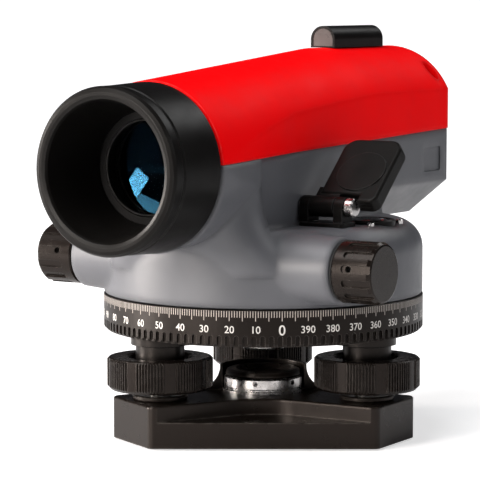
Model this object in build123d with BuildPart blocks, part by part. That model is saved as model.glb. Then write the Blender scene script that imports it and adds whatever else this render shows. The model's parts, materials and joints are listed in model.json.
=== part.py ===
"""Automatic level: a three-screw base, a divided circle and a telescope with a compensator.

Frame: +Z up, origin on the vertical axis at the underside of the base. The telescope lies
along Y, with its objective towards -Y. The circular vial and its mirror are on the +X side and
the focusing knob is on the -X side. The base stands turned by BASE_YAW under the telescope.
"""

import os
from math import cos, pi, radians, sin, sqrt, tan

from build123d import *

os.makedirs("parts", exist_ok=True)

# ---------------------------------------------------------------- driving dimensions, mm
BASE_YAW = 32.0  # the base's own X against the telescope's X, degrees
RUN = 0.05  # radial clearance of a running fit

# base plate
PAD_H = 0.6
SIDE_DIST = 37.5  # from the axis to each long side
CORNER_DIST = 51.7  # from the axis to each cut corner
LEDGE_Z = 9.4
BASE_TOP = 14.8
WAIST_DIST = 20.5  # from the axis to the middle of each hollow side above the ledge
WAIST_R = 20.0  # of the hollow side's round middle
FLANK_ANGLE = 29.3  # between a hollow side's straight flanks and the long side, degrees
THREAD_R = 6.95  # wall of a 5/8 inch tripod thread, taken plain
BUSH_R = 11.0
BUSH_H = 12.5

# central clamp ring and cap on the base
RING_R = 13.5
COLLAR_TOP = 23.6
RING_TOP = 20.2
CAP_TOP = 22.5

# foot screws
SCREW_RING = 40.4
KNOB_R = 17.9
KNOB_Z0 = 18.5
KNOB_Z1 = 29.5
KNOB_GROUPS = 8
RIBS_PER_GROUP = 10
RIB_PITCH = 3.3
RIB_DEPTH = 0.55
DISH_R = 11.2
SLEEVE_R = 8.25
STEM_R = 4.0
BALL_R = 5.2
BALL_Z = 10.4
SEAT_R = 9.3
SEAT_TOP = 16.6

# levelling head and vertical axis
HEAD_Z0 = 33.6
HEAD_Z1 = 37.0
HEAD_HUB_R = 22.0
HEAD_BOSS_R = 20.0
HEAD_BOSS_TOP = 45.0
SPINDLE_R = 9.0
HEAD_TRAVEL = 1.5  # the head's rise and fall from mid height

# horizontal circle
CIRCLE_R = 55.0
CIRCLE_Z0 = 37.0
CIRCLE_Z1 = 49.2
GRIP_TOP = 41.5
GRIP_COUNT = 120

# telescope body
AXIS_Z = 95.9
FRONT_Y = -70.0
REAR_Y = 88.5
BARREL_R = 27.9
SKIRT_R = 54.8
SKIRT_Z0 = 49.6
SKIRT_EDGE_Z = 65.0
DECK_Z = 74.6  # top of the skirt, where the vial stands
DECK_ROUND = 9.6
WALL_X = 24.6  # flat side walls over the deck
COVER_X = 25.0  # flat sides of the cover
SEAM_Z_FRONT = 97.5
SEAM_Z_REAR = 102.3
POCKET_Y = -44.0  # front end of the side recesses
COVER_TOP = 132.3
TAPER_END_Y = -20.0  # the cover narrows from the barrel's width down to here
CREST_Y = 33.0  # behind this the cover's top is level
WAIST_END_Y = 46.0  # rear end of the body that stands on the deck
CEILING_Z = 70.8  # top of the hollow under the deck
NECK_REAR_Y = -30.0
# height, half width and front of the neck's sections
NECK_LEVELS = (
    (60.0, 36.0, -51.0),
    (68.0, 34.5, -54.0),
    (75.0, 31.5, -56.8),
    (84.0, 28.8, -58.8),
    (AXIS_Z, BARREL_R, -60.0),
)
OBJ_BORE_R = 25.2
EYE_BORE_R = 12.2
COVER_SCREW_X = 20.0
COVER_SCREW_Y = 84.0
COVER_SCREW_Z = 116.4

# objective end, by distance along Y and radius
HOOD_FRONT_Y = -95.2
HOOD_MOUTH_R = 22.4
HOOD_R = 26.9
CELL_Y = -62.0  # shoulder of the lens cell, behind the hood
NOSE_Y = -71.2  # front of the cell's nose, at the bottom of the hood
NOSE_R = 20.0
HOOD_BOTTOM_R = 18.3
CELL_LIP_R = 15.0
LENS_R = 16.6
LENS_BULGE_R = 85.0
TUBE_END_Y = 14.0
TUBE_R = 18.6

# eyepiece end
FLANGE_Y1 = 91.6
EYE_TUBE_R = 12.1
EYE_TUBE_Y1 = 97.0
DIOPTER_Y0 = 92.2
DIOPTER_Y1 = 102.0
DIOPTER_R = 15.2
EYECUP_Y1 = 108.0

# tangent screw and its worm wheel
TANGENT_Y = -32.5
TANGENT_Z = 62.0
BOSS_R = 10.9
BOSS_X = 50.6
TKNOB_R = 10.2
TKNOB_X0 = 51.5
TKNOB_X1 = 65.8
TSHAFT_R = 3.0
WORM_R = 4.6
FLUTES = 13
FLUTE_ANGLE = 11.0
BUSH_OUT_R = 13.0
WHEEL_Z = 62.0
WHEEL_R = 27.5
WHEEL_TEETH = 72

# focusing
FOCUS_Y = 18.0
FOCUS_Z = 94.0
FOCUS_R = 17.0
FOCUS_X0 = 28.2
FOCUS_X1 = 46.0
FOCUS_RIBS = 36
FSHAFT_R = 4.0
PINION_R = 2.7
FCELL_Y = -24.0

# compensator
PENDULUM_Y = 36.0
PIVOT_Z = 111.0
PIVOT_R = 1.0

# circular vial and mirror
VIAL_X = 40.0
VIAL_Y = 3.0
VIAL_R = 9.0
VIAL_TOP = 75.9
VIAL_FOOT = 72.0  # the wider part of its seat goes down to here
VIAL_SCREW_FOOT = 73.6
VIAL_SCREW_ANGLES = (-58, 50)
HINGE_Y = -15.0
HINGE_Z = 81.0
HINGE_R = 3.5
PIN_R = 1.2
PIN_X0 = 24.9
PIN_X1 = 45.1
HEAD_X0 = 42.0  # inner end of the pin's head
KNUCKLE_X0 = 29.2
KNUCKLE_X1 = 38.1
LID_X0 = 30.6
LID_X1 = 52.5
LID_NEAR = 1.0  # the plate starts here beside the pin's head
LID_LENGTH = 29.3
LID_T = 5.0
LID_OPEN = 42.3  # degrees above the closed, level position

# peep sight
SIGHT_Y0 = 40.0
SIGHT_Y1 = 76.5
SIGHT_HALF_W = 4.9
SIGHT_SHOULDER = 135.2
SIGHT_TOP = 140.0

# ---------------------------------------------------------------- planes and helpers


def base_plane(height):
    """The level plane at a height, turned with the base."""
    yaw = radians(BASE_YAW)
    return Plane(origin=(0, 0, height), x_dir=(cos(yaw), sin(yaw), 0), z_dir=(0, 0, 1))


def foot_centre(index):
    """The place of a foot screw in plan."""
    angle = radians(BASE_YAW - 30 + 120 * index)
    return SCREW_RING * cos(angle), SCREW_RING * sin(angle)


def across(y, z):
    """Plane for profiles turned about an axis along X: (x, radius)."""
    return Plane(origin=(0, y, z), x_dir=(1, 0, 0), z_dir=(0, -1, 0))


def along(z=AXIS_Z):
    """Plane for profiles turned about an axis along Y: (y, radius)."""
    return Plane(origin=(0, 0, z), x_dir=(0, 1, 0), z_dir=(1, 0, 0))


def upright(x=0.0, y=0.0):
    """Plane for profiles turned about an upright axis: (radius, z)."""
    return Plane(origin=(x, y, 0), x_dir=(1, 0, 0), z_dir=(0, -1, 0))


def section(y):
    """Plane of a cross-section of the telescope: (x, z)."""
    return Plane(origin=(0, y, 0), x_dir=(1, 0, 0), z_dir=(0, -1, 0))


def turned(points, plane, axis):
    """A solid turned from a closed outline."""
    with BuildPart() as piece:
        with BuildSketch(plane):
            with BuildLine():
                Polyline(*points, close=True)
            make_face()
        revolve(axis=axis)
    return piece.part


def turned_up(points, x=0.0, y=0.0):
    """Turned about an upright axis from (radius, z) points."""
    return turned(points, upright(x, y), Axis((x, y, 0), (0, 0, 1)))


def turned_along(points, z=AXIS_Z):
    """Turned about a lengthwise axis from (y, radius) points."""
    return turned(points, along(z), Axis((0, 0, z), (0, 1, 0)))


def turned_across(points, y, z):
    """Turned about a crosswise axis from (x, radius) points."""
    return turned(points, across(y, z), Axis((0, y, z), (1, 0, 0)))


def tube_up(r_out, r_in, z0, z1, x=0.0, y=0.0, bevel=0.3):
    """An upright ring with small bevels on its outer edges."""
    outline = [(r_in, z0), (r_out - bevel, z0), (r_out, z0 + bevel)]
    outline += [(r_out, z1 - bevel), (r_out - bevel, z1), (r_in, z1)]
    return turned_up(outline, x, y)


def tube_along(r_out, r_in, y0, y1, bevel=0.3):
    """A lengthwise ring with small bevels on its outer edges."""
    outline = [(y0, r_in), (y0, r_out - bevel), (y0 + bevel, r_out)]
    outline += [(y1 - bevel, r_out), (y1, r_out - bevel), (y1, r_in)]
    return turned_along(outline)


def keep(builder, label):
    """Name a finished sub-part and write it out."""
    builder.part.label = label
    export_step(builder.part, f"parts/{label}.step")


def seam_z(y):
    """Height of the joint between the housing and the cover."""
    slope = (SEAM_Z_REAR - SEAM_Z_FRONT) / (REAR_Y - FRONT_Y)
    return SEAM_Z_FRONT + slope * (y - FRONT_Y)


# ---------------------------------------------------------------- base


def corner_outline():
    """The cut triangle's corners in the base's own plan, in order."""
    half = (SIDE_DIST - CORNER_DIST * 0.5) / sin(radians(60))
    points = []
    for k in range(3):
        turn = radians(-30 + 120 * k)
        for t in (-half, half):
            x = CORNER_DIST * cos(turn) - t * sin(turn)
            y = CORNER_DIST * sin(turn) + t * cos(turn)
            points.append((x, y))
    return points


with BuildSketch() as hollow_side:
    # straight flanks that leave the long side near its corners and run into a round waist
    flank = radians(FLANK_ANGLE)
    bend_x = WAIST_DIST + WAIST_R * (1 - cos(flank))
    bend_y = WAIST_R * sin(flank)
    mouth_x = SIDE_DIST + 1.0
    mouth_y = bend_y + (mouth_x - bend_x) / tan(flank)
    with BuildLine():
        ThreePointArc((bend_x, -bend_y), (WAIST_DIST, 0), (bend_x, bend_y))
        Polyline((bend_x, bend_y), (mouth_x, mouth_y), (mouth_x, -mouth_y), (bend_x, -bend_y))
    make_face()

with BuildPart() as base_plate:
    # lower plate with the straight sides
    with BuildSketch(base_plane(PAD_H)):
        Polygon(*corner_outline(), align=None)
    extrude(amount=BASE_TOP - PAD_H)
    upright_edges = base_plate.edges().filter_by(Axis.Z)
    fillet(upright_edges, radius=2.6)
    # the hollow sides above the ledge
    with BuildSketch(base_plane(LEDGE_Z)):
        with PolarLocations(0, 3, start_angle=-90):
            add(hollow_side.sketch)
    extrude(amount=BASE_TOP - LEDGE_Z, mode=Mode.SUBTRACT)
    top_rim = base_plate.faces().sort_by(Axis.Z)[-1].outer_wire().edges()
    fillet(top_rim, radius=0.8)
    # flared half collar behind the clamp ring
    yaw = radians(BASE_YAW)
    collar_plane = Plane(origin=(0, 0, 0), x_dir=(cos(yaw), sin(yaw), 0), z_dir=(sin(yaw), -cos(yaw), 0))
    with BuildSketch(collar_plane):
        with BuildLine():
            Polyline((23.0, BASE_TOP), (14.1, BASE_TOP), (14.1, COLLAR_TOP), (15.0, COLLAR_TOP))
            ThreePointArc((15.0, COLLAR_TOP), (17.0, 17.8), (23.0, BASE_TOP))
        make_face()
    revolve(axis=Axis.Z, revolution_arc=180)
    # centre opening, seat pockets for the ball ends and the bush bore
    with BuildSketch(base_plane(0)):
        Circle(BUSH_R)
    extrude(amount=BASE_TOP, mode=Mode.SUBTRACT)
    with BuildSketch(base_plane(BALL_Z - BALL_R - 0.6)):
        with PolarLocations(SCREW_RING, 3, start_angle=-30):
            Circle(BALL_R + 0.5)
    extrude(amount=BASE_TOP, mode=Mode.SUBTRACT)
keep(base_plate, "base_plate")

with BuildPart() as base_pads:
    with BuildSketch(base_plane(0)):
        with PolarLocations(SCREW_RING, 3, start_angle=-30):
            SlotOverall(18, 11, rotation=90)
    extrude(amount=PAD_H)
keep(base_pads, "base_pads")

with BuildPart() as tripod_bush:
    add(tube_up(BUSH_R, THREAD_R, 0, BUSH_H, bevel=0.4))
keep(tripod_bush, "tripod_bush")

with BuildPart() as clamp_ring:
    outline = [(THREAD_R + 1.5, BUSH_H + 0.1), (BUSH_R - 0.4, BUSH_H + 0.1)]
    outline += [(BUSH_R - 0.4, BASE_TOP), (RING_R + 0.5, BASE_TOP), (RING_R + 0.5, 15.6)]
    outline += [(RING_R - 0.1, 15.9), (RING_R - 0.1, 16.3), (RING_R, 16.6)]
    outline += [(RING_R, RING_TOP - 0.5), (RING_R - 0.5, RING_TOP), (THREAD_R + 1.5, RING_TOP)]
    add(turned_up(outline))
    # capstan holes for a tommy bar
    for k in range(6):
        angle = radians(BASE_YAW - 90 - 12 + 60 * k)
        hole_plane = Plane(origin=(0, 0, 18.6), z_dir=(cos(angle), sin(angle), 0))
        with BuildSketch(hole_plane.offset(RING_R - 3)):
            Circle(0.85)
        extrude(amount=5, mode=Mode.SUBTRACT)
keep(clamp_ring, "clamp_ring")

with BuildPart() as hub_cap:
    outline = [(0, RING_TOP - 4), (THREAD_R + 1.4, RING_TOP - 4), (THREAD_R + 1.4, RING_TOP + 0.05)]
    outline += [(12.4, RING_TOP + 0.05), (13.0, RING_TOP + 0.6), (12.6, CAP_TOP - 0.4)]
    outline += [(11.6, CAP_TOP), (9.6, CAP_TOP), (8.6, CAP_TOP - 1.4), (0, CAP_TOP - 1.7)]
    add(turned_up(outline))
keep(hub_cap, "hub_cap")

with BuildPart() as foot_screw_seats:
    for k in range(3):
        x, y = foot_centre(k)
        add(tube_up(SEAT_R, STEM_R + 0.4, BASE_TOP, SEAT_TOP, x, y, bevel=0.5))
keep(foot_screw_seats, "foot_screw_seats")

# ---------------------------------------------------------------- foot screws


def knob_rim():
    """Outline of a foot-screw knob: eight ribbed fields with a smooth band between."""
    points = []
    field = 360 / KNOB_GROUPS
    band = field - RIBS_PER_GROUP * RIB_PITCH
    low = KNOB_R - RIB_DEPTH
    for group in range(KNOB_GROUPS):
        start = group * field + band / 2
        for rib in range(RIBS_PER_GROUP):
            turn = start + rib * RIB_PITCH
            for share, radius in ((0.12, low), (0.34, KNOB_R), (0.66, KNOB_R), (0.88, low)):
                angle = radians(turn + share * RIB_PITCH)
                points.append((radius * cos(angle), radius * sin(angle)))
        for step in range(3):
            angle = radians(start + field - band + (step + 0.5) * band / 3)
            points.append(((low + 0.1) * cos(angle), (low + 0.1) * sin(angle)))
    return points


for k in range(3):
    x, y = foot_centre(k)
    with BuildPart() as foot_knob:
        with BuildSketch(Plane(origin=(x, y, KNOB_Z0))):
            Polygon(*knob_rim(), align=None)
        extrude(amount=KNOB_Z1 - KNOB_Z0)
        # bevelled body with the dished top and the deep ring that the sleeve runs in
        outline = [(STEM_R, KNOB_Z0), (KNOB_R - 1.3, KNOB_Z0), (KNOB_R, KNOB_Z0 + 1.3)]
        outline += [(KNOB_R + 0.2, KNOB_Z1 - 1.0), (KNOB_R - 0.6, KNOB_Z1 - 0.2)]
        outline += [(KNOB_R - 1.4, KNOB_Z1), (DISH_R + 0.6, KNOB_Z1), (DISH_R - 0.2, KNOB_Z1 - 0.5)]
        outline += [(SLEEVE_R + 1.1, KNOB_Z1 - 2.6), (SLEEVE_R + 0.6, KNOB_Z1 - 3.4)]
        outline += [(SLEEVE_R + 0.6, KNOB_Z0 + 2.6), (STEM_R, KNOB_Z0 + 2.6)]
        add(turned_up(outline, x, y), mode=Mode.INTERSECT)
    keep(foot_knob, f"foot_knob_{k + 1}")

    with BuildPart() as foot_stem:
        neck = BALL_Z + sqrt(BALL_R**2 - STEM_R**2)
        stem_top = HEAD_Z1 - HEAD_TRAVEL - 0.3
        outline = [(0, neck - 0.5), (STEM_R, neck - 0.5), (STEM_R, stem_top - 0.8)]
        outline += [(STEM_R - 0.8, stem_top), (0, stem_top)]
        add(turned_up(outline, x, y))
        with Locations((x, y, BALL_Z)):
            Sphere(BALL_R)
    keep(foot_stem, f"foot_stem_{k + 1}")

# ---------------------------------------------------------------- levelling head

with BuildPart() as levelling_head:
    # three arms under the circle, joined at a hub
    with BuildSketch(base_plane(HEAD_Z0)):
        Circle(HEAD_HUB_R)
        with PolarLocations(SCREW_RING / 2, 3, start_angle=-30):
            Rectangle(SCREW_RING, 2 * SLEEVE_R + 1)
        with PolarLocations(SCREW_RING, 3, start_angle=-30):
            Circle(SLEEVE_R + 1.6)
    extrude(amount=HEAD_Z1 - HEAD_Z0)
    # boss that the circle turns on, and the short hub below
    with BuildSketch(Plane.XY.offset(HEAD_Z1)):
        Circle(HEAD_BOSS_R)
    extrude(amount=HEAD_BOSS_TOP - HEAD_Z1)
    with BuildSketch(Plane.XY.offset(31.0)):
        Circle(12.0)
    extrude(amount=HEAD_Z0 - 31.0)
    # bore for the spindle and for the three stems
    with BuildSketch(Plane.XY.offset(30.0)):
        Circle(SPINDLE_R)
    extrude(amount=20, mode=Mode.SUBTRACT)
    with BuildSketch(base_plane(HEAD_Z0)):
        with PolarLocations(SCREW_RING, 3, start_angle=-30):
            Circle(STEM_R + 0.08)
    extrude(amount=5, mode=Mode.SUBTRACT)
keep(levelling_head, "levelling_head")

with BuildPart() as foot_sleeves:
    for k in range(3):
        x, y = foot_centre(k)
        add(tube_up(SLEEVE_R, STEM_R + 0.08, KNOB_Z1 - 4.0, HEAD_Z0, x, y, bevel=0.4))
keep(foot_sleeves, "foot_sleeves")

with BuildPart() as axis_spindle:
    outline = [(0, 29.6), (7.2, 29.6), (7.8, 30.2), (7.8, 31.0), (SPINDLE_R, 31.0)]
    outline += [(SPINDLE_R, 66.0), (5.0, 66.0), (5.0, 69.5), (0, 69.5)]
    add(turned_up(outline))
keep(axis_spindle, "axis_spindle")

with BuildPart() as spindle_nut:
    with BuildSketch(Plane.XY.offset(66.0)):
        RegularPolygon(8.4, 6)
        Circle(5.0, mode=Mode.SUBTRACT)
    extrude(amount=3.2)
keep(spindle_nut, "spindle_nut")

# ---------------------------------------------------------------- horizontal circle

with BuildPart() as horizontal_circle:
    web_z0, web_z1 = 38.6, 42.0
    inner = CIRCLE_R - 6.0
    outline = [(HEAD_BOSS_R + RUN, web_z0), (inner - 3, web_z0), (inner, CIRCLE_Z0)]
    outline += [(CIRCLE_R - 1.0, CIRCLE_Z0), (CIRCLE_R, CIRCLE_Z0 + 1.0)]
    outline += [(CIRCLE_R, CIRCLE_Z1 - 0.3), (CIRCLE_R - 0.3, CIRCLE_Z1)]
    outline += [(inner, CIRCLE_Z1), (inner, web_z1), (HEAD_BOSS_R + RUN, web_z1)]
    add(turned_up(outline))
    # arched grip notches, open at the bottom
    notch_w = 0.57 * 2 * pi * CIRCLE_R / GRIP_COUNT
    notch_planes = []
    for k in range(GRIP_COUNT):
        angle = radians(360 * (k + 0.5) / GRIP_COUNT)
        out = (cos(angle), sin(angle), 0)
        centre = (CIRCLE_R * out[0], CIRCLE_R * out[1], GRIP_TOP - 0.7 - notch_w / 2)
        notch_planes.append(Plane(origin=centre, x_dir=(-out[1], out[0], 0), z_dir=out))
    with BuildSketch(*notch_planes):
        Circle(notch_w / 2)
        with Locations((0, -2.5)):
            Rectangle(notch_w, 5.0)
    extrude(amount=0.8, both=True, mode=Mode.SUBTRACT)
keep(horizontal_circle, "horizontal_circle")

# ---------------------------------------------------------------- telescope body


def plan_wedge(inset):
    """Plan outline of the telescope, standing: barrel width in front, flat sides behind."""
    front, narrow = BARREL_R - inset + 0.3, COVER_X - inset
    start, end = FRONT_Y + 1, REAR_Y - inset
    with BuildPart() as wedge:
        with BuildSketch(Plane.XY.offset(60)):
            plan = [(-front, start), (front, start), (narrow, TAPER_END_Y), (narrow, end)]
            plan += [(-narrow, end), (-narrow, TAPER_END_Y)]
            Polygon(*plan, align=None)
        extrude(amount=80)
    return wedge.part


def cover_form(inset, straight_sides=True):
    """Outer form of the telescope, or its hollow when inset: an arch that rises from the front."""
    radius = BARREL_R - inset
    rise = (COVER_TOP - inset - AXIS_Z - radius) / (CREST_Y - FRONT_Y - 1)
    run_length = (CREST_Y - FRONT_Y - 1) * sqrt(1 + rise**2)
    with BuildPart() as form:
        for y, centre_z in ((FRONT_Y + 1, AXIS_Z), (CREST_Y, COVER_TOP - BARREL_R)):
            with BuildSketch(section(y)):
                with Locations((0, centre_z)):
                    Circle(radius)
                if straight_sides:
                    with Locations((0, centre_z - 10)):
                        Rectangle(2 * radius, 20)
            if y < CREST_Y:
                extrude(amount=run_length, dir=(0, 1, rise))
            else:
                extrude(amount=y - REAR_Y + inset)
        add(plan_wedge(inset), mode=Mode.INTERSECT)
    return form.part


def below_seam(drop):
    """All space under the joint between the housing and the cover, lowered a little."""
    y0, y1 = FRONT_Y - 20, REAR_Y + 20
    with BuildPart() as space:
        with BuildSketch(Plane.YZ):
            Polygon((y0, seam_z(y0) - drop), (y1, seam_z(y1) - drop), (y1, 30), (y0, 30), align=None)
        extrude(amount=80, both=True)
    return space.part


def neck_outline(height, half_width, front_y):
    """Plan section of the neck between the skirt and the barrel, round at the front."""
    with BuildSketch(Plane.XY.offset(height)) as outline:
        with BuildLine():
            Spline(
                (-half_width, NECK_REAR_Y),
                (0, front_y),
                (half_width, NECK_REAR_Y),
                tangents=[(0, -1), (0, 1)],
            )
            Line((half_width, NECK_REAR_Y), (-half_width, NECK_REAR_Y))
        make_face()
    return outline.sketch


def focus_seat():
    """Raised disc on the side wall that the focusing knob turns against."""
    start, end = 3 - WALL_X, 0.4 - FOCUS_X0
    outline = [(start, 0), (start, FOCUS_R + 1.6), (end + 0.6, FOCUS_R + 1.2), (end, FOCUS_R + 0.6)]
    return turned_across([*outline, (end, 0)], FOCUS_Y, FOCUS_Z)


vial_screw_spots = [
    (VIAL_X + 10.9 * cos(radians(a)), VIAL_Y + 10.9 * sin(radians(a))) for a in VIAL_SCREW_ANGLES
]

with BuildPart() as lower_housing:
    # skirt with the rounded shoulder and the flat deck
    deck_flat_r = SKIRT_R - DECK_ROUND
    with BuildSketch(upright()):
        with BuildLine():
            Polyline((0, DECK_Z), (0, SKIRT_Z0), (SKIRT_R - 0.3, SKIRT_Z0), (SKIRT_R, SKIRT_Z0 + 0.4))
            Line((SKIRT_R, SKIRT_Z0 + 0.4), (SKIRT_R, SKIRT_EDGE_Z))
            CenterArc((deck_flat_r, SKIRT_EDGE_Z), DECK_ROUND, 0, 90)
            Line((deck_flat_r, DECK_Z), (0, DECK_Z))
        make_face()
    revolve(axis=Axis.Z)
    # neck that flares from the barrel down to the skirt
    loft([neck_outline(*level) for level in NECK_LEVELS])
    # round barrel
    add(cover_form(0, straight_sides=False))
    # recesses beside the telescope, over the deck
    with BuildSketch(Plane.YZ.offset(WALL_X)) as recess:
        with BuildLine():
            y0, y1 = POCKET_Y, REAR_Y + 5
            Polyline((y0, seam_z(y0)), (y1, seam_z(y1)), (y1, DECK_Z), (y0, DECK_Z), close=True)
        make_face()
        fillet(recess.vertices().sort_by(Axis.Y)[0:2].sort_by(Axis.Z)[0], radius=4)
    extrude(amount=40, mode=Mode.SUBTRACT)
    mirror(lower_housing.part, about=Plane.YZ, mode=Mode.INTERSECT)
    # flat-sided body over the deck, and the chamfered rear body behind it
    with BuildSketch(Plane.XY.offset(SKIRT_EDGE_Z)):
        with Locations((0, (POCKET_Y + WAIST_END_Y) / 2)):
            RectangleRounded(2 * WALL_X, WAIST_END_Y - POCKET_Y, 8)
    extrude(amount=103 - SKIRT_EDGE_Z)
    rear_low = [(WALL_X, 103), (WALL_X, 83.4), (9, 70.8), (-9, 70.8), (-WALL_X, 83.4), (-WALL_X, 103)]
    with BuildSketch(section(0)):
        Polygon(*rear_low, align=None)
    extrude(amount=-REAR_Y)
    # tangent-screw bosses through the skirt, a little fuller at the root
    boss = [(-BOSS_X, 0), (-BOSS_X, BOSS_R - 0.5), (0.5 - BOSS_X, BOSS_R), (-30, BOSS_R + 1.6)]
    boss += [(30, BOSS_R + 1.6), (BOSS_X - 0.5, BOSS_R), (BOSS_X, BOSS_R - 0.5), (BOSS_X, 0)]
    add(turned_across(boss, TANGENT_Y, TANGENT_Z))
    add(focus_seat())
    # hollow of the skirt, round the worm wheel
    with BuildSketch(upright()):
        with BuildLine():
            Polyline((0, CEILING_Z), (0, SKIRT_Z0 - 1), (SKIRT_R - 3, SKIRT_Z0 - 1))
            Line((SKIRT_R - 3, SKIRT_Z0 - 1), (SKIRT_R - 3, SKIRT_EDGE_Z - 1))
            RadiusArc((SKIRT_R - 3, SKIRT_EDGE_Z - 1), (SKIRT_R - 10, CEILING_Z), -7.0)
            Line((SKIRT_R - 10, CEILING_Z), (0, CEILING_Z))
        make_face()
    revolve(axis=Axis.Z, mode=Mode.SUBTRACT)
    # bearings of the tangent screw inside the skirt
    for side in (-1, 1):
        bearing = [(side * 34, 0), (side * 34, 7.0), (side * 46, 7.0), (side * 46, 0)]
        add(turned_across(bearing, TANGENT_Y, TANGENT_Z))
    with BuildSketch(Plane(origin=(0, TANGENT_Y, TANGENT_Z), z_dir=(1, 0, 0))):
        Circle(TSHAFT_R + RUN)
    extrude(amount=60, both=True, mode=Mode.SUBTRACT)
    # bore of the objective and the hollow of the telescope
    with BuildSketch(section(FRONT_Y - 1)):
        with Locations((0, AXIS_Z)):
            Circle(OBJ_BORE_R)
    extrude(amount=FRONT_Y + 2.5 - POCKET_Y, mode=Mode.SUBTRACT)
    with BuildSketch(section(POCKET_Y - 4)):
        with Locations((0, AXIS_Z)):
            Circle(TUBE_R + 1.6)
    extrude(amount=-10, mode=Mode.SUBTRACT)
    inside = [(21.4, 104), (21.4, 85.2), (8, 75.2), (-8, 75.2), (-21.4, 85.2), (-21.4, 104)]
    with BuildSketch(section(POCKET_Y + 1)):
        Polygon(*inside, align=None)
    extrude(amount=-(REAR_Y - 4 - POCKET_Y - 1), mode=Mode.SUBTRACT)
    # openings for the eyepiece, the focusing shaft and the vial
    with BuildSketch(section(REAR_Y - 10)):
        with Locations((0, AXIS_Z)):
            Circle(EYE_BORE_R)
    extrude(amount=-20, mode=Mode.SUBTRACT)
    with BuildSketch(Plane(origin=(-15, FOCUS_Y, FOCUS_Z), z_dir=(-1, 0, 0))):
        Circle(FSHAFT_R + RUN)
    extrude(amount=20, mode=Mode.SUBTRACT)
    with BuildSketch(Plane.XY.offset(60)):
        with Locations((VIAL_X, VIAL_Y)):
            Circle(VIAL_R - 0.8)
    extrude(amount=30, mode=Mode.SUBTRACT)
    with BuildSketch(Plane.XY.offset(VIAL_FOOT)):
        with Locations((VIAL_X, VIAL_Y)):
            Circle(VIAL_R)
    extrude(amount=20, mode=Mode.SUBTRACT)
    with BuildSketch(Plane.XY.offset(VIAL_SCREW_FOOT)):
        with Locations(*vial_screw_spots):
            Circle(1.3)
    extrude(amount=20, mode=Mode.SUBTRACT)
    # shallow rectangular pocket on each rear flank
    for side in (-1, 1):
        with BuildSketch(Plane(origin=(side * WALL_X, 77, 91.5), x_dir=(0, 1, 0), z_dir=(side, 0, 0))):
            RectangleRounded(13, 9, 1.2)
        extrude(amount=-0.6, mode=Mode.SUBTRACT)
    add(below_seam(0.15), mode=Mode.INTERSECT)
keep(lower_housing, "lower_housing")

with BuildPart() as upper_cover:
    add(cover_form(0))
    add(cover_form(2.4), mode=Mode.SUBTRACT)
    add(focus_seat())
    with BuildSketch(Plane(origin=(0, FOCUS_Y, FOCUS_Z), z_dir=(-1, 0, 0))):
        Circle(FSHAFT_R + 1)
    extrude(amount=FOCUS_X0, mode=Mode.SUBTRACT)
    # round openings for the objective and the eyepiece
    with BuildSketch(section(FRONT_Y - 1)):
        with Locations((0, AXIS_Z)):
            Circle(OBJ_BORE_R)
    extrude(amount=-24, mode=Mode.SUBTRACT)
    with BuildSketch(section(REAR_Y - 10)):
        with Locations((0, AXIS_Z)):
            Circle(EYE_BORE_R)
    extrude(amount=-20, mode=Mode.SUBTRACT)
    # posts under the rear cover screws, cut by their sunk seats
    screw_spots = [(side * COVER_SCREW_X, COVER_SCREW_Y) for side in (-1, 1)]
    with BuildSketch(Plane.XY.offset(104)):
        with Locations(*screw_spots):
            Circle(3.6)
    extrude(amount=COVER_SCREW_Z - 104)
    with BuildSketch(Plane.XY.offset(COVER_SCREW_Z)):
        with Locations(*screw_spots):
            Circle(3.0)
    extrude(amount=30, mode=Mode.SUBTRACT)
    with BuildSketch(Plane.XY.offset(100)):
        with Locations(*screw_spots):
            Circle(1.1)
    extrude(amount=30, mode=Mode.SUBTRACT)
    add(below_seam(0), mode=Mode.SUBTRACT)
keep(upper_cover, "upper_cover")

with BuildPart() as cover_screws:
    for x, y in screw_spots:
        outline = [(0, 106), (1.05, 106), (1.05, COVER_SCREW_Z), (2.5, COVER_SCREW_Z)]
        outline += [(2.5, COVER_SCREW_Z + 1.2), (2.1, COVER_SCREW_Z + 1.6), (0, COVER_SCREW_Z + 1.6)]
        add(turned_up(outline, x, y))
    with BuildSketch(Plane.XY.offset(COVER_SCREW_Z + 0.9)):
        with Locations(*screw_spots):
            Rectangle(2.8, 0.6, rotation=30)
            Rectangle(2.8, 0.6, rotation=120)
    extrude(amount=1, mode=Mode.SUBTRACT)
keep(cover_screws, "cover_screws")

with BuildPart() as floor_plate:
    rim = SKIRT_R - 3.2
    outline = [(BUSH_OUT_R, SKIRT_Z0 + 0.1), (rim, SKIRT_Z0 + 0.1), (rim, SKIRT_Z0 + 1.3)]
    outline += [(24, SKIRT_Z0 + 1.3), (22, 56.5), (BUSH_OUT_R, 56.5)]
    add(turned_up(outline))
keep(floor_plate, "floor_plate")

with BuildPart() as axis_bush:
    outline = [(SPINDLE_R + RUN, 45.6), (17.0, 45.6), (17.0, 47.6), (BUSH_OUT_R, 47.6)]
    outline += [(BUSH_OUT_R, 57.5), (SPINDLE_R + RUN, 57.5)]
    add(turned_up(outline))
keep(axis_bush, "axis_bush")

with BuildPart() as worm_wheel:
    with BuildSketch(Plane.XY.offset(WHEEL_Z - 3)):
        Circle(WHEEL_R - 0.9)
        with PolarLocations(WHEEL_R - 0.6, WHEEL_TEETH):
            Rectangle(1.2, 1.1)
        Circle(SPINDLE_R + RUN, mode=Mode.SUBTRACT)
    extrude(amount=6)
keep(worm_wheel, "worm_wheel")

# ---------------------------------------------------------------- objective end

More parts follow.
